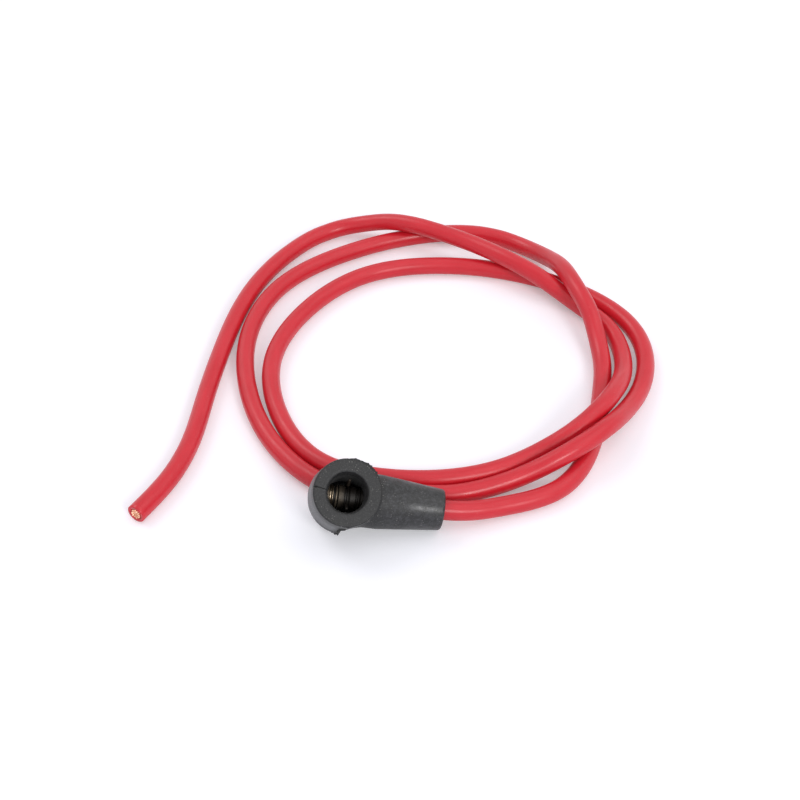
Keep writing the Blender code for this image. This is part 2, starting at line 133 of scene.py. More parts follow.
# Two finer grooves near the sleeve's open end: middle, half width and depth
SLEEVE_FINE_GROOVES = ((-5.5, 0.30, 0.30), (-4.5, 0.14, 0.40))

# The camera looks along +Y, across the neck. The lead's widths in the photograph fix its lens and height for
# any one angle. The angle, 43 degrees down, is a choice: the turns then come out about as deep as wide.
CAMERA_PLACE = (0.00812, -0.35183, 0.38850)
CAMERA_PITCH = 47.0
CAMERA_LENS = 67.5
CAMERA_NEAR = 0.01
SENSOR_WIDTH = 36.0

# The light: the floor's shade and the glow that the camera sees on it, the even light from all round,
# and square lamps with their elevation, azimuth, width and watts. Azimuth 0 is the camera's side, 90 the
# right. Lamps and the floor are in metres.
FLOOR_SHADE = 0.88
FLOOR_GLOW = 0.26
FLOOR_HALF = 2.0
AMBIENT = (0.59, 0.585, 0.635, 1.0)
LAMP_DISTANCE = 2.4
LAMPS = (
    ("key", 62.0, 92.0, 2.0, 8.5),
    ("fill", 35.0, 30.0, 0.6, 17.0),
    ("back", 50.0, 232.0, 1.1, 9.5),
)

# Route of the lead's centre line: X and Y from the middle of the neck's end face,
# and the height above the surface, in metres. The turns cross in low humps.
LEAD_ROUTE = (
    (0.0105, 0.0012, 0.0053),
    (0.0205, 0.0042, 0.0041),
    (0.0415, 0.0130, 0.0036),
    (0.0555, 0.0360, 0.0036),
    (0.0617, 0.0640, 0.0036),
    (0.0635, 0.0800, 0.0039),
    (0.0625, 0.0920, 0.0063),
    (0.0599, 0.1033, 0.0110),
    (0.0558, 0.1140, 0.0135),
    (0.0520, 0.1270, 0.0126),
    (0.0475, 0.1400, 0.0080),
    (0.0395, 0.1520, 0.0042),
    (0.0245, 0.1615, 0.0036),
    (-0.0065, 0.1618, 0.0036),
    (-0.0375, 0.1495, 0.0036),
    (-0.0625, 0.1285, 0.0036),
    (-0.0740, 0.0980, 0.0036),
    (-0.0725, 0.0670, 0.0036),
    (-0.0607, 0.0360, 0.0036),
    (-0.0505, 0.0229, 0.0036),
    (-0.0410, 0.0155, 0.0036),
    (-0.0295, 0.0120, 0.0036),
    (-0.0115, 0.0108, 0.0036),
    (0.0030, 0.0105, 0.0036),
    (0.0175, 0.0138, 0.0040),
    (0.0315, 0.0188, 0.0060),
    (0.0425, 0.0230, 0.0096),
    (0.0528, 0.0292, 0.0118),
    (0.0610, 0.0372, 0.0114),
    (0.0685, 0.0490, 0.0074),
    (0.0747, 0.0606, 0.0048),
    (0.0803, 0.0800, 0.0036),
    (0.0775, 0.1010, 0.0036),
    (0.0615, 0.1210, 0.0036),
    (0.0335, 0.1360, 0.0036),
    (0.0015, 0.1413, 0.0036),
    (-0.0285, 0.1350, 0.0036),
    (-0.0510, 0.1140, 0.0036),
    (-0.0635, 0.0840, 0.0036),
    (-0.0600, 0.0528, 0.0036),
    (-0.0405, 0.0248, 0.0036),
    (-0.0235, 0.0191, 0.0036),
    (-0.0055, 0.0177, 0.0036),
    (0.0205, 0.0228, 0.0036),
    (0.0365, 0.0308, 0.0049),
    (0.0485, 0.0372, 0.0087),
    (0.0575, 0.0448, 0.0114),
    (0.0647, 0.0560, 0.0104),
    (0.0700, 0.0700, 0.0065),
    (0.0716, 0.0860, 0.0039),
    (0.0680, 0.1010, 0.0036),
    (0.0580, 0.1138, 0.0044),
    (0.0470, 0.1230, 0.0076),
    (0.0385, 0.1288, 0.0104),
    (0.0280, 0.1366, 0.0116),
    (0.0145, 0.1470, 0.0112),
    (0.0015, 0.1540, 0.0116),
    (-0.0095, 0.1592, 0.0115),
    (-0.0185, 0.1636, 0.0097),
    (-0.0285, 0.1670, 0.0064),
    (-0.0395, 0.1668, 0.0042),
    (-0.0605, 0.1505, 0.0036),
    (-0.0760, 0.1220, 0.0036),
    (-0.0840, 0.0880, 0.0036),
    (-0.0880, 0.0600, 0.0036),
    (-0.0910, 0.0370, 0.0036),
    (-0.0965, 0.0190, 0.0036),
    (-0.1065, 0.0010, 0.0036),
)
LEAD_GROUND_CLEARANCE = 0.0001
CURVE_SAMPLES = 6000


def cap_frame(frame):
    """The cap's own axes and centre in the object's frame, from the record's mounts."""
    mounts = {mount["name"]: mount for mount in frame["record"]["mounts"]}
    neck = Vector(mounts["neck_end_face"]["axis"]).normalized()
    mouth = Vector(mounts["mouth_face"]["axis"]).normalized()
    side = mouth.cross(neck).normalized()
    mouth = neck.cross(side).normalized()
    ring = (MOUTH_RADIUS - MOUTH_EDGE + SOCKET_MOUTH_RADIUS + SOCKET_LIP) / 2
    center = Vector(mounts["mouth_face"]["pos_m"]) - neck * (ring * MM) - mouth * (MOUTH_HEIGHT * MM)
    turn = Matrix((neck, side, mouth)).transposed().to_4x4()
    return Matrix.Translation(center) @ turn


def make_camera():
    """The photograph's camera."""
    camera = bpy.data.objects.new("camera", bpy.data.cameras.new("camera"))
    bpy.context.scene.collection.objects.link(camera)
    camera.data.sensor_width = SENSOR_WIDTH
    camera.data.lens = CAMERA_LENS
    camera.data.clip_start = CAMERA_NEAR
    camera.location = CAMERA_PLACE
    camera.rotation_euler = (radians(CAMERA_PITCH), 0.0, 0.0)
    bpy.context.scene.camera = camera


def smooth_curve(points, step, floor=True):
    """A natural cubic through the points, read at even steps."""
    points = np.array(points)
    along = np.concatenate(([0.0], np.cumsum(np.linalg.norm(np.diff(points, axis=0), axis=1))))
    spans = np.diff(along)
    count = len(points)
    matrix = np.eye(count)
    bends = np.zeros((count, 3))
    slopes = np.diff(points, axis=0) / spans[:, None]
    for i in range(1, count - 1):
        matrix[i, i - 1:i + 2] = (spans[i - 1], 2 * (spans[i - 1] + spans[i]), spans[i])
        bends[i] = 6 * (slopes[i] - slopes[i - 1])
    bends = np.linalg.solve(matrix, bends)
    places = np.linspace(0.0, along[-1], CURVE_SAMPLES)
    span = np.clip(np.searchsorted(along, places, side="right") - 1, 0, count - 2)
    width = spans[span][:, None]
    before = (places - along[span])[:, None]
    after = (along[span + 1] - places)[:, None]
    line = (bends[span] * after**3 + bends[span + 1] * before**3) / (6 * width)
    line += (points[span] / width - bends[span] * width / 6) * after
    line += (points[span + 1] / width - bends[span + 1] * width / 6) * before
    if floor:
        line[:, 2] = np.maximum(line[:, 2], LEAD_RADIUS * MM + LEAD_GROUND_CLEARANCE)
    return resample(line, step)


def resample(line, step):
    """The same line with points at even steps along it."""
    travelled = np.concatenate(([0.0], np.cumsum(np.linalg.norm(np.diff(line, axis=0), axis=1))))
    places = np.linspace(0.0, travelled[-1], max(2, round(travelled[-1] / step) + 1))
    return np.stack([np.interp(places, travelled, line[:, k]) for k in range(3)], axis=1)


def carried_frames(line):
    """Two directions across the line at each of its points, carried along without twist."""
    ahead = np.gradient(line, axis=0)
    ahead /= np.linalg.norm(ahead, axis=1)[:, None]
    across = np.zeros_like(line)
    first = np.cross(ahead[0], (0.0, 1.0, 0.0))
    across[0] = first / np.linalg.norm(first)
    for i in range(1, len(line)):
        turned = across[i - 1] - ahead[i] * (across[i - 1] @ ahead[i])
        across[i] = turned / np.linalg.norm(turned)
    return ahead, across, np.cross(ahead, across)


def wave(values, seed, count=4):
    """A smooth, repeatable wobble between about -1 and 1."""
    total = 0.0
    for i in range(count):
        # Each part is faster and weaker than the last
        pace = (0.7 + 0.61 * i) * (1.0 + 0.13 * sin(seed + i))
        total = total + np.sin(values * pace + seed * (1.7 + i) + 2.1 * i) / (1 + i)
    return total / sum(1 / (1 + i) for i in range(count))


def mesh_piece(name, points, quads, place=None, extra=(), uv=None):
    """A smooth mesh object from points in metres and faces of four corners, with a few other faces."""
    mesh = bpy.data.meshes.new(name)
    if place is not None:
        turn = np.array(place)
        points = np.asarray(points) @ turn[:3, :3].T + turn[:3, 3]
    quads = np.asarray(quads, np.int32)
    corners = np.concatenate([quads.ravel()] + [np.array(face, np.int32) for face in extra])
    starts = np.concatenate((
        np.arange(len(quads)) * 4,
        4 * len(quads) + np.cumsum([0] + [len(face) for face in extra])[:len(extra)],
    )).astype(np.int32)
    mesh.vertices.add(len(points))
    mesh.vertices.foreach_set("co", np.asarray(points, np.float32).ravel())
    mesh.loops.add(len(corners))
    mesh.loops.foreach_set("vertex_index", corners)
    mesh.polygons.add(len(starts))
    mesh.polygons.foreach_set("loop_start", starts)
    mesh.update(calc_edges=True)
    mesh.validate()
    mesh.shade_smooth()
    if uv is not None:
        layer = mesh.uv_layers.new(name="along_and_round")
        layer.data.foreach_set("uv", np.asarray(uv, np.float32).ravel())
    thing = bpy.data.objects.new(name, mesh)
    bpy.context.scene.collection.objects.link(thing)
    return thing


def ring_quads(rings, sides, closed=False):
    """Faces that join rings of points, in order, into a skin."""
    ring = np.arange(rings if closed else rings - 1)[:, None]
    side = np.arange(sides)[None, :]
    after = (ring + 1) % rings
    turned = (side + 1) % sides
    quads = (ring * sides + side, ring * sides + turned, after * sides + turned, after * sides + side)
    return np.stack(quads, axis=-1).reshape(-1, 4)


def rings_round(line, radii, sides):
    """Rings of points round a line; radii has a row for each ring."""
    _, across, up = carried_frames(line)
    turn = np.linspace(0.0, 2 * pi, sides, endpoint=False)[None, :, None]
    spokes = np.cos(turn) * across[:, None, :] + np.sin(turn) * up[:, None, :]
    radii = np.asarray(radii, float).reshape(len(line), -1)[:, :, None]
    return line[:, None, :] + spokes * radii


# Turned profiles, as signed distances over radius and height

def arc(center, radius, start, end, points=9):
    """Points of an arc in a profile, angles in degrees from the outward direction."""
    steps = [radians(start + (end - start) * i / (points - 1)) for i in range(points)]
    return [(center[0] + radius * cos(a), center[1] + radius * sin(a)) for a in steps]


def rod(radius, top, bottom):
    """A plain cylinder's profile."""
    return [(0.0, top), (radius, top), (radius, bottom), (0.0, bottom)]


class Turned:
    """Signed distance to a turned solid, kept as a table that is read between its points."""

    # Steps of the table, and how far it reaches past the profile
    spacing = 0.08
    margin = 4.0

    def __init__(self, profile):
        outline = [point for point in profile if point[0] > 0.0]
        both = np.array(outline + [(-r, h) for r, h in reversed(outline)])
        self.low = both[:, 1].min() - self.margin
        self.radii = np.arange(0.0, both[:, 0].max() + self.margin, self.spacing)
        self.heights = np.arange(self.low, both[:, 1].max() + self.margin, self.spacing)
        r, h = np.meshgrid(self.radii, self.heights, indexing="ij")
        nearest = np.full(r.shape, 1e9)
        inside = np.zeros(r.shape, bool)
        for (r0, h0), (r1, h1) in zip(both, np.roll(both, -1, axis=0)):
            length = (r1 - r0)**2 + (h1 - h0)**2
            if length < 1e-12:
                continue
            share = np.clip(((r - r0) * (r1 - r0) + (h - h0) * (h1 - h0)) / length, 0.0, 1.0)
            nearest = np.minimum(nearest, np.hypot(r - r0 - share * (r1 - r0), h - h0 - share * (h1 - h0)))
            if h0 != h1:
                beyond = r < r0 + (h - h0) * (r1 - r0) / (h1 - h0)
                inside ^= ((h0 > h) != (h1 > h)) & beyond
        self.table = np.where(inside, -nearest, nearest)

    def __call__(self, radius, height):
        i = np.clip(radius / self.spacing, 0.0, len(self.radii) - 1.001)
        j = np.clip((height - self.low) / self.spacing, 0.0, len(self.heights) - 1.001)
        i0, j0 = i.astype(int), j.astype(int)
        i, j = i - i0, j - j0
        near = self.table[i0, j0] * (1 - i) + self.table[i0 + 1, j0] * i
        far = self.table[i0, j0 + 1] * (1 - i) + self.table[i0 + 1, j0 + 1] * i
        return near * (1 - j) + far * j


def soft_min(a, b, reach):
    """The lower of two distances, blended where they meet."""
    mix = np.clip(0.5 + 0.5 * (b - a) / reach, 0.0, 1.0)
    return b + (a - b) * mix - reach * mix * (1.0 - mix)


# Torn flash: angle in degrees and how far it stands out, as an envelope that teeth then break up
RIM_FLASH = (
    (-180, -0.3), (-139, -0.3), (-135, 0.25), (-131, -0.3), (-96, -0.3), (-90, 0.22), (-82, 0.34),
    (-76, 0.15), (-70, -0.3), (8, -0.3), (16, 0.16), (24, 0.34), (32, 0.46), (38, 0.62), (47, 0.80),
    (56, 0.92), (62, 0.78), (68, 0.56), (73, 0.40), (76, 0.42), (79, 0.56), (86, 0.54), (88.5, 0.16),
    (95, 0.04), (104, -0.1), (116, -0.3), (180, -0.3),
)
TAB_FLASH = (
    (-180, -0.4), (-140, -0.4), (-136, 0.08), (-128, 0.26), (-120, 0.30), (-113, 0.30), (-107, 0.46),
    (-100, 0.60), (-95.5, 0.85), (-92.5, 1.15), (-90.5, 0.35), (-88, -0.70), (-84, -0.78), (-80, -0.85),
    (-78, -1.75), (-73, -2.2), (180, -2.2),
)
FLASH_STATIONS = 900


class CapForm:
    """The moulded cap as one signed distance, in its own frame and in millimetres."""

    def __init__(self):
        rim = [(0.0, MOUTH_HEIGHT)]
        rim += arc((MOUTH_RADIUS - MOUTH_EDGE, MOUTH_HEIGHT - MOUTH_EDGE), MOUTH_EDGE, 90, 0)
        self.boss = Turned(
            rim + [(BOSS_RADIUS, 0.0)]
            + arc((BOSS_BACK_RADIUS - BOSS_EDGE, BOSS_EDGE - BACK_DEPTH), BOSS_EDGE, 0, -90)
            + [(0.0, -BACK_DEPTH)]
        )
        self.round_end = Turned(
            rim + [(BELT_RADIUS - 0.03, 0.8), (BELT_RADIUS, 0.0), (BELT_RADIUS - 0.04, -0.9)]
            + arc((BACK_RADIUS - BACK_EDGE, BACK_EDGE - BACK_DEPTH), BACK_EDGE, 0, -90, 17)
            + [(0.0, -BACK_DEPTH)]
        )
        self.neck = Turned(
            [(0.0, NECK_LENGTH)]
            + arc((NECK_END_RADIUS - NECK_EDGE, NECK_LENGTH - NECK_EDGE), NECK_EDGE, 90, 0)
            + [(NECK_ROOT_RADIUS, BELT_RADIUS), (NECK_ROOT_RADIUS, NECK_START), (0.0, NECK_START)]
        )
        lip = SOCKET_LIP + SOCKET_WEAR
        above = MOUTH_HEIGHT + CUT_REACH
        bottom = MOUTH_HEIGHT - SOCKET_DEPTH
        self.socket = Turned(
            [(0.0, above), (SOCKET_MOUTH_RADIUS + lip, above)]
            + arc((SOCKET_MOUTH_RADIUS + lip, MOUTH_HEIGHT - lip), lip, 90, 180)
            + [(SOCKET_RADIUS, MOUTH_HEIGHT - SOCKET_ENTRY_DEPTH)]
            + arc((SOCKET_RADIUS - SOCKET_CORNER, bottom + SOCKET_CORNER), SOCKET_CORNER, 0, -90)
            + [(0.0, bottom)]
        )
        self.seat = Turned(rod(SLEEVE_RADIUS + FIT_GAP, SLEEVE_END + FIT_GAP, SLEEVE_START - FIT_GAP))
        snug = LEAD_RADIUS + FIT_GAP
        wide = snug + PASSAGE_CHAMFER
        beyond = NECK_LENGTH + CUT_REACH
        self.passage = Turned([
            (0.0, beyond), (wide, beyond), (wide, NECK_LENGTH), (snug, NECK_LENGTH - PASSAGE_CHAMFER),
            (snug, SLEEVE_END / 2), (0.0, SLEEVE_END / 2),
        ])

    def __call__(self, p):
        x, y, z = p[..., 0], p[..., 1], p[..., 2]
        round_mouth = np.hypot(x, y)
        round_neck = np.hypot(y, z)
        angle = np.degrees(np.arctan2(y, x))
        torn = x - ROUND_END - TORN_WAVE * wave(z * 1.3 + y * 0.2, 6.0)
        head = -soft_min(-self.round_end(round_mouth, z), -torn, 0.5)
        head = soft_min(head, self.boss(round_mouth, z), 0.4)
        body = soft_min(head, self.neck(round_neck, x), 1.5)
        body = body + MOULD_WAVE * wave(x * 0.75 + 0.9 * y, 1.3) * wave(z * 0.8 - 0.5 * y, 4.1)
        hollow = np.minimum(self.socket(round_mouth, z), self.passage(round_neck, x))
        hollow = np.minimum(hollow, self.seat(round_neck, x))
        return soft_min(np.maximum(body, -hollow), self.socket_nib(round_mouth, z, angle), 0.2)

    @staticmethod
    def socket_nib(radius, z, angle):
        """A curl of flash on the wall inside the mouth."""
        along = (angle + 108.0) * 0.112
        return np.hypot(np.hypot(along / 2.4, (radius - 6.75) * 1.3), (z - 10.9) * 1.1) - 0.32


def surface(form, low, high, step):
    """Surface of a signed distance: one point in each cell that it passes through, joined by quads."""
    axes = [np.arange(a, b + step, step) for a, b in zip(low, high)]
    field = form(np.stack(np.meshgrid(*axes, indexing="ij"), axis=-1))
    cells, places, quads = [], [], []
    for axis in range(3):
        ahead = np.roll(field, -1, axis)
        crossed = (field < 0.0) != (ahead < 0.0)
        corner = np.argwhere(crossed)
        place = corner.astype(float)
        place[:, axis] += field[crossed] / (field[crossed] - ahead[crossed])
        one, two = (axis + 1) % 3, (axis + 2) % 3
        loop = []
        for back_one, back_two in ((0, 0), (1, 0), (1, 1), (0, 1)):
            cell = corner.copy()
            cell[:, one] -= back_one
            cell[:, two] -= back_two
            loop.append(np.ravel_multi_index(tuple(cell.T), field.shape))
        loop = np.stack(loop, axis=1)
        cells.append(loop.ravel())
        places.append(np.repeat(place, 4, axis=0))
        entering = field[crossed] > 0.0
        loop[entering] = loop[entering][:, ::-1]
        quads.append(loop)
    used, index = np.unique(np.concatenate(cells), return_inverse=True)
    places = np.concatenate(places)
    count = np.bincount(index)
    points = np.stack([np.bincount(index, places[:, k]) / count for k in range(3)], axis=1)
    points = points * step + np.array([axis[0] for axis in axes])
    return settle(form, points, step), np.searchsorted(used, np.concatenate(quads))


def settle(form, points, step):
    """Moves points onto the surface along its slope."""
    small = 0.05
    for _ in range(3):
        rises = [form(points + small * axis) - form(points - small * axis) for axis in np.eye(3)]
        slope = np.stack([rise / (2 * small) for rise in rises], axis=-1)
        steep = np.maximum((slope**2).sum(axis=-1), 0.25)
        move = (form(points) / steep)[:, None] * slope
        length = np.linalg.norm(move, axis=1)[:, None]
        points = points - move * np.minimum(1.0, 0.4 * step / np.maximum(length, 1e-9))
    return points


def torn_skin(name, place, envelope, radius, height, thickness, seed):
    """A ragged skin of flash round the head: thin, torn into teeth and curled at its edge."""
    angle = np.linspace(-180.0, 180.0, FLASH_STATIONS, endpoint=False)
    reach = np.interp(angle, *np.array(envelope, float).T)
    teeth = np.abs(wave(angle * 0.42, seed, 5)) * 0.75 + np.abs(wave(angle * 1.5, seed + 2, 4)) * 0.55
    reach = np.where(reach > 0.0, reach * np.clip(0.5 + teeth * 0.85, 0.0, 1.2), reach + 0.2 * (teeth - 0.5))
    curl = 0.16 * wave(angle * 0.6, seed + 5, 4)
    thin = thickness * (0.34 + 0.12 * wave(angle * 1.3, seed + 7, 3))
    inner = radius - FLASH_ROOT
    root = radius + np.minimum(reach, 0.0) - 0.12
    section = (
        (inner + 0 * angle, height - thickness / 2 + 0 * angle), (root, height - thickness / 2),
        (radius + reach, height + curl - thin / 2), (radius + reach, height + curl + thin / 2),
        (root, height + thickness / 2), (inner + 0 * angle, height + thickness / 2),
    )
    turn = np.radians(angle)
    points = [np.stack([r * np.cos(turn), r * np.sin(turn), 0 * turn + h], axis=1) for r, h in section]
    points = np.stack(points, axis=1).reshape(-1, 3)
    quads = ring_quads(FLASH_STATIONS, len(section), closed=True)
    return mesh_piece(name, points * MM, quads[:, ::-1], place)


def joined(piece, others):
    """Adds or cuts the other shapes into a piece, exactly, and removes them."""
    for other, operation in others:
        change = piece.modifiers.new(other.name, "BOOLEAN")
        change.operation = operation
        change.solver = "EXACT"
        change.object = other
    bpy.context.view_layer.update()
    whole = piece.data
    piece.data = bpy.data.meshes.new_from_object(piece.evaluated_get(bpy.context.evaluated_depsgraph_get()))
    piece.modifiers.clear()
    bpy.data.meshes.remove(whole)
    for other, _ in others:
        bpy.data.objects.remove(other)
    return piece


def make_slit(place):
    """A thin, slightly wavy blade for the slit across the mouth's face."""
    steps = np.linspace(SOCKET_RADIUS - 0.6, BELT_RADIUS + 1.5, 40)
    turn = radians(SLIT_ANGLE)
    outward = np.array((cos(turn), sin(turn), 0.0))
    across = np.array((-sin(turn), cos(turn), 0.0))
    points = []
    for step in steps:
        sway = 0.10 * wave(step * 0.9, 3.0, 3) + SLIT_LEAN * (BELT_RADIUS - step)
        notch = min(max(0.0, step - (MOUTH_RADIUS - 1.6)) * 0.3, SLIT_NOTCH)
        half = SLIT_HALF + 0.04 * wave(step * 1.7, 8.0, 3) + notch
        for side, height in ((-half, 1.0), (half, 1.0), (0.0, -SLIT_DEPTH)):
            up = np.array((0.0, 0.0, MOUTH_HEIGHT + height))
            points.append(outward * step + across * (sway + side) + up)
    last = 3 * (len(steps) - 1)
    caps = ((0, 1, 2), (last + 2, last + 1, last))
    return mesh_piece("slit_blade", np.array(points) * MM, ring_quads(len(steps), 3)[:, ::-1], place, caps)


def make_cap(place):
    """The rubber moulding, with its flash, torn tab and slit."""
    points, quads = surface(CapForm(), CAP_LOW, CAP_HIGH, CAP_STEP)
    cap = mesh_piece("rubber_cap_form", points * MM, quads, place)
    edge = MOUTH_HEIGHT - RIM_FLASH_DROP
    rim = torn_skin("rim_flash", place, RIM_FLASH, MOUTH_RADIUS, edge, RIM_FLASH_THICKNESS, 2.0)
    tab = torn_skin("tab_flash", place, TAB_FLASH, BELT_RADIUS, TAB_FLASH_HEIGHT, TAB_FLASH_THICKNESS, 5.0)
    return joined(cap, ((rim, "UNION"), (tab, "UNION"), (make_slit(place), "DIFFERENCE")))


def sleeve_radius(stations):
    """Outer radius of the sleeve: pressed bands, ribs and grooves with soft edges."""
    fine = np.arange(SLEEVE_START - 1.0, SLEEVE_END + 1.0, 0.01)
    radius = np.full(fine.shape, SLEEVE_RADIUS)
    station = SLEEVE_START
    for _ in range(SLEEVE_REPEATS):
        for length, height in SLEEVE_PATTERN:
            radius[(fine > station) & (fine <= station + length)] = height
            station += length
    for middle, half, depth in SLEEVE_FINE_GROOVES:
        radius -= depth * (np.abs(fine - middle) < half)
    kernel = np.cos(np.arange(-12, 13) / 13 * pi / 2)
    radius = np.convolve(np.pad(radius, 12, mode="edge"), kernel / kernel.sum(), mode="valid")
    return np.interp(stations, fine, radius)


def make_sleeve(place):
    """The ribbed contact sleeve."""
    sides = 96
    ribbed = np.linspace(SLEEVE_START + 0.15, 6.2, 170)
    plain = np.linspace(6.5, SLEEVE_END - 0.15, 10)
    stations = np.concatenate((ribbed, plain))
    hole = CONDUCTOR_RADIUS + FIT_GAP
    start = [(SLEEVE_START, 0.3), (SLEEVE_START, 3.4), (SLEEVE_START, 3.92), (SLEEVE_START + 0.05, 4.04)]
    end = [(SLEEVE_END - 0.05, 4.05), (SLEEVE_END, 3.95), (SLEEVE_END, hole + 0.2), (SLEEVE_END - 0.2, hole)]
    profile = start + list(zip(stations, sleeve_radius(stations))) + end
    profile = np.array(profile + [(SLEEVE_BLIND_END, hole), (SLEEVE_BLIND_END, 0.3)])
    line = np.stack([profile[:, 0], 0 * profile[:, 0], 0 * profile[:, 0]], axis=1)
    turn = np.linspace(0.0, 2 * pi, sides, endpoint=False)
    spokes = np.stack([0 * turn, np.cos(turn), np.sin(turn)], axis=1)
    points = (line[:, None, :] + spokes[None] * profile[:, 1][:, None, None]).reshape(-1, 3)
    last = (len(profile) - 1) * sides
    caps = (range(sides - 1, -1, -1), range(last, last + sides))
    return mesh_piece("contact_sleeve_form", points * MM, ring_quads(len(profile), sides), place, caps)


def rounded_tube(name, line, radius, sides, place):
    """A round wire with domed ends, along a line in metres."""
    ahead = np.gradient(line, axis=0)
    ahead /= np.linalg.norm(ahead, axis=1)[:, None]
    dome = [radians(a) for a in (75, 50, 25)]
    first = [line[0] - ahead[0] * radius * sin(a) for a in dome]
    final = [line[-1] + ahead[-1] * radius * sin(a) for a in reversed(dome)]
    whole = np.concatenate((first, line, final))
    radii = [radius * cos(a) for a in dome] + [radius] * len(line) + [radius * cos(a) for a in reversed(dome)]
    points = rings_round(whole, radii, sides).reshape(-1, 3)
    last = (len(whole) - 1) * sides
    caps = (range(sides - 1, -1, -1), range(last, last + sides))
    return mesh_piece(name, points, ring_quads(len(whole), sides), place, caps)


def make_clip(place):
    """The wire clip round the sleeve."""
    reach = SLEEVE_RADIUS + FIT_GAP + CLIP_WIRE
    pinch = CLIP_HALF_GAP + CLIP_WIRE
    leg = [
        (reach, CLIP_TIP), ((reach + pinch) / 2, (CLIP_TIP + CLIP_PINCH) / 2), (pinch, CLIP_PINCH),
        ((3 * reach + pinch) / 4, (3 * CLIP_LEG + CLIP_PINCH) / 4), (reach, CLIP_LEG / 2),
    ]
    bend = arc((0.0, 0.0), reach, 0, -180, 12)
    route = leg + bend + [(-across, height) for across, height in reversed(leg)]
    line = smooth_curve([(CLIP_STATION * MM, a * MM, h * MM) for a, h in route], 0.35 * MM, floor=False)
    return rounded_tube("plug_clip_form", line, CLIP_WIRE * MM, 20, place)


def lead_route(place, start):
    """The lead's centre line in metres, from a station in the neck to the cut end."""
    leaving = place @ Vector((NECK_LENGTH * MM, 0.0, 0.0))
    straight = [place @ Vector((s * MM, 0.0, 0.0)) for s in (start, (start + NECK_LENGTH) / 2)] + [leaving]
    loose = [Vector((leaving.x + x, leaving.y + y, z)) for x, y, z in LEAD_ROUTE]
    return smooth_curve([tuple(point) for point in straight + loose], LEAD_STEP * MM)


def make_jacket(line):
    """The red jacket: outer skin, cut face and bore, with UVs in metres along it and turns round it."""
    sides = LEAD_SIDES
    travelled = np.arange(len(line)) * LEAD_STEP
    turn = np.linspace(0.0, 2 * pi, sides, endpoint=False)
    skin = LEAD_UNEVEN * wave(travelled * 0.06, 2.2)[:, None] * np.cos(2 * turn + travelled[:, None] * 0.02)
    outer = rings_round(line, (LEAD_RADIUS + skin) * MM, sides)
    ending = line[-1] - line[-2]
    ending /= np.linalg.norm(ending)
    outer[-1] -= ending * CUT_ROUND * MM
    rim = rings_round(line, np.full(len(line), LEAD_RADIUS - 0.14) * MM, sides)[-1:]
    inner = rings_round(line, np.full(len(line), CONDUCTOR_RADIUS + FIT_GAP) * MM, sides)[::-1]
    rings = np.concatenate((outer, rim, inner[:1], inner[2::2], inner[-1:]))
    count = len(rings)
    back = np.arange(count - len(outer) - 1)
    along = np.concatenate((travelled, travelled[-1:] + 0.2, travelled[-1:] + 1.0 + back))
    v = np.arange(sides + 1) / sides
    ring = np.arange(count)[:, None].repeat(sides, 1)
    side = np.arange(sides)[None, :].repeat(count, 0)
    ahead = np.minimum(ring + 1, count - 1)
    uv = np.stack([
        np.stack([along[ring] * MM, v[side]], -1), np.stack([along[ring] * MM, v[side + 1]], -1),
        np.stack([along[ahead] * MM, v[side + 1]], -1), np.stack([along[ahead] * MM, v[side]], -1),
    ], axis=2)
    return mesh_piece("lead_jacket_form", rings.reshape(-1, 3), ring_quads(count, sides, closed=True), uv=uv)


def make_strands(line):
    """The conductor's nineteen twisted strands, cut off unevenly at the end."""
    sides = STRAND_SIDES
    travelled = np.arange(len(line)) * LEAD_STEP
    keep = np.union1d(np.arange(0, len(line), 4), np.arange(len(line) - 12, len(line)))
    _, across, up = carried_frames(line)
    points, quads, caps = [], [], []
    total = 0
    strands = [(0.0, 0.0)] + [(0.8, i / 6) for i in range(6)] + [(1.6, (i + 0.3) / 12) for i in range(12)]
    for number, (away, share) in enumerate(strands):
        turn = 2 * pi * (share + travelled / STRAND_LAY)[:, None]
        path = line + (np.cos(turn) * across + np.sin(turn) * up) * away * MM
        path = path[keep].copy()
        ending = path[-1] - path[-2]
        ending /= np.linalg.norm(ending)
        proud = 0.15 + 0.18 * sin(number * 2.4) + 0.1 * sin(number * 5.1)
        path[-1] += ending * proud * MM
        path = np.concatenate((path[:-1], [path[-1] - ending * 0.1 * MM, path[-1]]))
        radii = np.full(len(path), STRAND_RADIUS)
        radii[-1] -= 0.09
        points.append(rings_round(path, radii * MM, sides).reshape(-1, 3))
        quads.append(ring_quads(len(path), sides) + total)
        last = total + (len(path) - 1) * sides
        caps += [range(total + sides - 1, total - 1, -1), range(last, last + sides)]
        total += len(points[-1])
    return mesh_piece("lead_strands_form", np.concatenate(points), np.concatenate(quads), extra=caps)


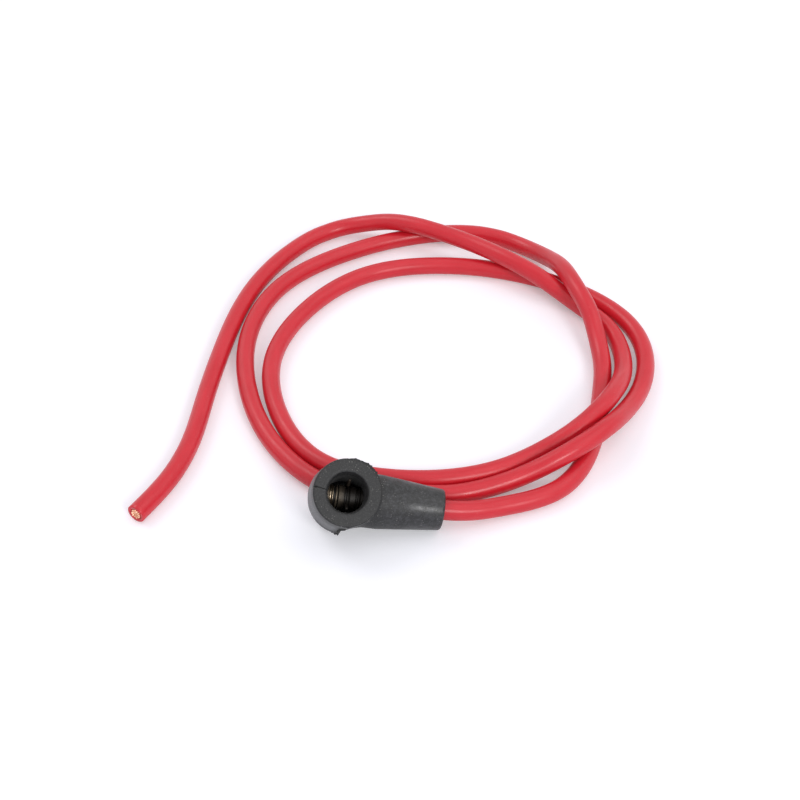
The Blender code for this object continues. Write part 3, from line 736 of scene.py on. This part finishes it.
class Shade:
    """A material or a world under construction: nodes are added by kind, with their settings and sockets."""

    def __init__(self, owner, output="Material"):
        self.owner = owner
        owner.use_nodes = True
        self.tree = owner.node_tree
        self.tree.nodes.clear()
        self.out = self.tree.nodes.new("ShaderNodeOutput" + output)

    def add(self, kind, settings=None, **sockets):
        """A node of a kind; a socket takes a value or another node's output."""
        node = self.tree.nodes.new("ShaderNode" + kind)
        for name, value in (settings or {}).items():
            setattr(node, name, value)
        for name, value in sockets.items():
            self.put(node.inputs[name.replace("_", " ")], value)
        return node

    def put(self, socket, value):
        """Sets a socket, or joins an output to it."""
        if isinstance(value, bpy.types.NodeSocket):
            self.tree.links.new(value, socket)
        else:
            socket.default_value = value

    def noise(self, vector, scale, detail=4.0, roughness=0.55):
        """Noise between 0 and 1."""
        node = self.add("TexNoise", Vector=vector, Scale=scale, Detail=detail, Roughness=roughness)
        return node.outputs["Fac"]

    def ramp(self, value, *stops):
        """A value or colour that follows another through stops."""
        node = self.add("ValToRGB", Fac=value)
        band = node.color_ramp
        while len(band.elements) < len(stops):
            band.elements.new(0.5)
        for element, (position, color) in zip(band.elements, stops):
            element.position = position
            element.color = color if hasattr(color, "__len__") else (color, color, color, 1.0)
        return node.outputs["Color"]

    def mix(self, share, first, second):
        """A mix of two colours."""
        node = self.tree.nodes.new("ShaderNodeMix")
        node.data_type = "RGBA"
        self.put(node.inputs["Factor"], share)
        self.put(node.inputs[6], first)
        self.put(node.inputs[7], second)
        return node.outputs[2]

    def math(self, operation, first, second=0.5):
        """One sum."""
        node = self.add("Math", {"operation": operation})
        self.put(node.inputs[0], first)
        self.put(node.inputs[1], second)
        return node.outputs["Value"]

    def bump(self, height, distance, strength=1.0, normal=None):
        """A bumped normal; the distance is in metres."""
        node = self.add("Bump", Height=height, Distance=distance, Strength=strength)
        if normal is not None:
            self.put(node.inputs["Normal"], normal)
        return node.outputs["Normal"]

    def finish(self, **sockets):
        """The main shader, with its sockets, joined to the output."""
        shader = self.add("BsdfPrincipled")
        for name, value in sockets.items():
            self.put(shader.inputs[name.replace("_", " ")], value)
        self.put(self.out.inputs["Surface"], shader.outputs["BSDF"])
        return self.owner


def paint(red, green, blue):
    """A colour written as seen on a screen, from 0 to 255, as shaders take it."""
    def line(value):
        value /= 255
        return value / 12.92 if value <= 0.04045 else ((value + 0.055) / 1.055)**2.4
    return (line(red), line(green), line(blue), 1.0)


def cap_axes(s, frame):
    """Places in the cap's own axes, in metres."""
    place = s.add("TexCoord").outputs["Object"]
    node = s.add("Mapping", {"vector_type": "TEXTURE"}, Vector=place, Location=frame.translation,
                 Rotation=frame.to_euler())
    return node.outputs["Vector"]


def rubber(frame):
    """Matt black moulded rubber: grainy and dusty on the head, smoother and satin towards the neck's end,
    with painted shade in the crease at the head's foot and a painted reflection on the head's wall behind the
    parting line.
    """
    s = Shade(bpy.data.materials.new("rubber_bloom_and_painted_light"))
    place = cap_axes(s, frame)
    part = s.add("SeparateXYZ", Vector=place)
    across = s.add("CombineXYZ", X=part.outputs["X"], Y=part.outputs["Y"]).outputs["Vector"]
    round_ = s.add("VectorMath", {"operation": "LENGTH"}, Vector=across).outputs["Value"]
    round_ = s.math("MULTIPLY", round_, 50.0)
    cloud = s.noise(place, 260.0, 5.0, 0.6)
    grain = s.noise(place, 1900.0, 3.0, 0.7)

    # Black with a fine grain, mottled grey along the neck
    base = s.ramp(cloud, (0.32, paint(20, 20, 21)), (0.68, paint(31, 31, 32)))
    mottle = s.noise(place, 640.0, 3.0, 0.6)
    along = s.ramp(s.math("MULTIPLY", part.outputs["X"], 30.0), (0.34, 0.0), (0.42, 1.0))
    base = s.mix(s.math("MULTIPLY", s.ramp(mottle, (0.44, 0.05), (0.60, 0.65)), along), base,
                 paint(66, 66, 69))
    base = s.mix(s.ramp(grain, (0.42, 0.5), (0.56, 0.0)), base, paint(22, 22, 23))
    base = s.mix(s.ramp(grain, (0.52, 0.0), (0.68, 0.55)), base, paint(66, 66, 66))

    # Painted shade in the crease round the foot of the head, in front of the parting line; 1 is 20 mm from
    # the axis
    crease_shade = s.ramp(round_, (0.560, 0.0), (0.569, 1.0), (0.598, 1.0), (0.612, 0.0))
    ahead = s.ramp(s.math("MULTIPLY", part.outputs["X"], 100.0), (0.2, 0.45), (0.75, 1.0))
    base = s.mix(s.math("MULTIPLY", crease_shade, ahead), base, paint(10, 10, 11))

    # Pale patch on the head's wall behind the parting line: a painted reflection of the bright surroundings
    # at a grazing angle, with some dusty bloom
    behind = s.ramp(s.math("ADD", s.math("MULTIPLY", part.outputs["X"], 100.0), 0.5), (0.2, 1.0), (0.4, 0.0))
    bloom_and_reflection = s.math("MULTIPLY", s.ramp(round_, (0.586, 0.0), (0.596, 0.8)), behind)
    bloom_and_reflection = s.math("MULTIPLY", bloom_and_reflection, s.ramp(cloud, (0.3, 0.6), (0.7, 1.0)))
    base = s.mix(bloom_and_reflection, base, paint(118, 118, 120))

    # Specks of dust, thickest near the mouth's edge
    speck = s.add("TexVoronoi", Vector=place, Scale=1250.0).outputs["Distance"]
    gather = s.ramp(round_, (0.50, 0.0), (0.59, 0.12), (0.66, 0.10), (0.74, 0.0))
    here = s.ramp(s.math("ADD", s.noise(place, 420.0, 2.0), gather), (0.52, 0.0), (0.66, 1.0))
    dust = s.math("MULTIPLY", s.ramp(speck, (0.10, 1.0), (0.26, 0.0)), here)
    base = s.mix(s.math("MULTIPLY", dust, 0.55), base, paint(156, 153, 147))

    # Smoother and satin from the middle of the neck on
    satin = s.math("ADD", s.math("MULTIPLY", part.outputs["X"], 30.0),
                   s.math("MULTIPLY", s.math("SUBTRACT", cloud, 0.5), 0.35))
    satin = s.ramp(satin, (0.58, 0.0), (0.70, 1.0))
    rough = s.mix(satin, s.ramp(cloud, (0.3, 0.46), (0.7, 0.56)), s.ramp(cloud, (0.3, 0.27), (0.7, 0.40)))
    fine = s.noise(place, 3600.0, 3.0, 0.6)
    broad = s.noise(place, 1300.0, 4.0, 0.6)
    grip = s.ramp(satin, (0.0, 1.0), (1.0, 0.25))
    normal = s.bump(s.math("MULTIPLY", broad, grip), 0.00016, 1.0)
    normal = s.bump(s.math("MULTIPLY", fine, grip), 0.00005, 1.0, normal)
    return s.finish(Base_Color=base, Roughness=rough, Normal=normal, IOR=1.5, Sheen_Weight=0.06,
                    Sheen_Roughness=0.35)


def lead_red():
    """The jacket's glossy red, a little uneven along its length, with dull scuffs and fine pale marks."""
    s = Shade(bpy.data.materials.new("lead_red"))
    uv = s.add("TexCoord").outputs["UV"]
    long = s.add("Mapping", Vector=uv, Scale=(60.0, 6.0, 1.0)).outputs["Vector"]
    cloud = s.noise(long, 1.0, 4.0, 0.6)
    base = s.ramp(cloud, (0.3, paint(205, 27, 42)), (0.7, paint(216, 40, 53)))
    fine = s.add("Mapping", Vector=uv, Scale=(900.0, 22.0, 1.0)).outputs["Vector"]
    grain = s.noise(fine, 1.0, 3.0, 0.6)
    base = s.mix(s.ramp(grain, (0.62, 0.0), (0.72, 0.25)), base, paint(216, 92, 96))
    rough = s.ramp(s.noise(long, 2.3, 4.0), (0.35, 0.28), (0.7, 0.42))
    normal = s.bump(grain, 0.00003, 0.35)
    normal = s.bump(s.noise(long, 3.0, 3.0), 0.00012, 0.35, normal)
    return s.finish(Base_Color=base, Roughness=rough, Normal=normal, IOR=1.5)


def sleeve_metal(frame):
    """Dull plated metal, brighter at the open end, with painted shade that darkens it deeper in the socket
    and in its grooves.
    """
    s = Shade(bpy.data.materials.new("sleeve_metal"))
    place = cap_axes(s, frame)
    part = s.add("SeparateXYZ", Vector=place)
    x = s.math("MULTIPLY", part.outputs["X"], 1000.0)
    round_ = s.math("SQRT", s.math("ADD", s.math("POWER", part.outputs["Y"], 2.0),
                                   s.math("POWER", part.outputs["Z"], 2.0)))
    # Painted shade in the grooves, where the radius is under about 4 mm
    low = s.ramp(s.math("MULTIPLY", round_, 100.0), (0.37, 1.0), (0.405, 0.0))
    # Painted shade deeper in the socket: darker from the open end towards the neck, with a noisy edge
    cloud = s.noise(place, 900.0, 5.0, 0.65)
    along = s.math("ADD", x, s.math("MULTIPLY", s.math("SUBTRACT", cloud, 0.5), 3.0))
    share = s.math("ADD", s.math("MULTIPLY", along, 0.1), 0.5)
    darkness = s.ramp(share, (0.0, 0.10), (0.14, 0.30), (0.22, 0.74), (0.45, 0.91), (0.53, 0.99))
    # All of the sleeve's painted shade, which also makes it rougher and less metallic
    darkening = s.math("MAXIMUM", darkness, low)
    base = s.mix(darkening, paint(182, 165, 142), paint(25, 21, 18))
    rough = s.ramp(darkening, (0.1, 0.26), (0.9, 0.5))
    metal = s.ramp(darkening, (0.2, 1.0), (0.95, 0.35))
    normal = s.bump(s.noise(place, 3000.0, 3.0), 0.00002, 0.5)
    return s.finish(Base_Color=base, Roughness=rough, Metallic=metal, Normal=normal)


def clip_metal(frame):
    """Drawn wire with sooty patches, and painted shade that darkens the leg on the sleeve's lower side."""
    s = Shade(bpy.data.materials.new("clip_metal"))
    place = cap_axes(s, frame)
    side = s.math("MULTIPLY", s.add("SeparateXYZ", Vector=place).outputs["Y"], 100.0)
    cloud = s.noise(place, 700.0, 5.0, 0.6)
    # Painted shade on the lower leg, with random sooty patches over the whole wire
    darkness = s.math("ADD", s.ramp(side, (0.1, 0.75), (0.3, 0.2)), s.ramp(cloud, (0.4, 0.0), (0.7, 0.3)))
    base = s.mix(darkness, paint(64, 54, 45), paint(14, 13, 12))
    return s.finish(Base_Color=base, Roughness=s.ramp(cloud, (0.3, 0.45), (0.7, 0.65)), Metallic=0.6)


def copper():
    """Bright cut copper with dull and dirty patches."""
    s = Shade(bpy.data.materials.new("copper_strands"))
    place = s.add("TexCoord").outputs["Object"]
    cloud = s.noise(place, 700.0, 5.0, 0.6)
    darkening = s.ramp(cloud, (0.42, 0.0), (0.72, 0.85))
    base = s.mix(darkening, paint(250, 202, 172), paint(206, 146, 112))
    rough = s.ramp(cloud, (0.35, 0.34), (0.75, 0.64))
    metal = s.ramp(cloud, (0.5, 1.0), (0.8, 0.55))
    normal = s.bump(s.noise(place, 3000.0, 3.0), 0.00002, 0.4)
    return s.finish(Base_Color=base, Roughness=rough, Metallic=metal, Normal=normal)


def pale_floor():
    """A pale floor that reads white to the camera and keeps the object's soft shadow."""
    s = Shade(bpy.data.materials.new("pale_floor"))
    seen = camera_share(s)
    diffuse = s.add("BsdfDiffuse", Color=(FLOOR_SHADE * 0.955, FLOOR_SHADE * 0.965, FLOOR_SHADE, 1.0))
    glow = s.add("Emission", Color=(1.0, 1.0, 1.0, 1.0), Strength=s.math("MULTIPLY", seen, FLOOR_GLOW))
    both = s.add("AddShader")
    s.put(both.inputs[0], diffuse.outputs[0])
    s.put(both.inputs[1], glow.outputs[0])
    s.put(s.out.inputs["Surface"], both.outputs[0])
    return s.owner


def camera_share(s):
    """1 on rays from the camera and on those that gloss and glass send on."""
    path = s.add("LightPath")
    share = s.math("MAXIMUM", path.outputs["Is Camera Ray"], path.outputs["Is Glossy Ray"])
    return s.math("MAXIMUM", share, path.outputs["Is Transmission Ray"])


def make_world():
    """White behind everything, and a soft even light from all round."""
    world = bpy.data.worlds.new("studio")
    bpy.context.scene.world = world
    s = Shade(world, "World")
    color = s.mix(camera_share(s), AMBIENT, (1.0, 1.0, 1.0, 1.0))
    light = s.add("Background", Color=color, Strength=1.0)
    s.put(s.out.inputs["Surface"], light.outputs[0])


def make_lamp(name, elevation, azimuth, width, watts):
    """A soft square lamp that faces the object."""
    lamp = bpy.data.lights.new(name, "AREA")
    lamp.shape = "RECTANGLE"
    lamp.size = width
    lamp.size_y = width
    lamp.energy = watts
    thing = bpy.data.objects.new(name, lamp)
    bpy.context.scene.collection.objects.link(thing)
    up, round_ = radians(elevation), radians(azimuth)
    away = Vector((sin(round_) * cos(up), -cos(round_) * cos(up), sin(up)))
    thing.location = away * LAMP_DISTANCE
    thing.rotation_euler = (-away).to_track_quat("-Z", "Y").to_euler()


def make_floor():
    """The surface that the cap and its lead lie on."""
    half = FLOOR_HALF
    corners = [(-half, -half, 0.0), (half, -half, 0.0), (half, half, 0.0), (-half, half, 0.0)]
    floor = mesh_piece("floor", corners, [(0, 1, 2, 3)])
    floor.data.materials.append(pale_floor())


def dress(piece, nodes, material):
    """Gives a piece its material and its body, and hides the model's pieces that it stands for."""
    piece.data.materials.clear()
    piece.data.materials.append(material)
    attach(piece, "root")
    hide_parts(*nodes)


def main():
    """Make the camera and the lead, then the cap and its metal, the floor and the light."""
    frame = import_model()
    bpy.context.scene.view_settings.view_transform = "Standard"
    make_camera()
    place = cap_frame(frame)

    line = lead_route(place, SLEEVE_END + FIT_GAP)
    jacket = make_jacket(line)
    strands = make_strands(lead_route(place, SLEEVE_BLIND_END + FIT_GAP))
    dress(jacket, ["lead_jacket"], lead_red())
    dress(strands, ["lead_conductor"], copper())

    dress(make_cap(place), ["rubber_cap"], rubber(place))
    dress(make_sleeve(place), ["contact_sleeve"], sleeve_metal(place))
    dress(make_clip(place), ["plug_clip"], clip_metal(place))

    make_floor()
    make_world()
    for lamp in LAMPS:
        make_lamp(*lamp)


main()
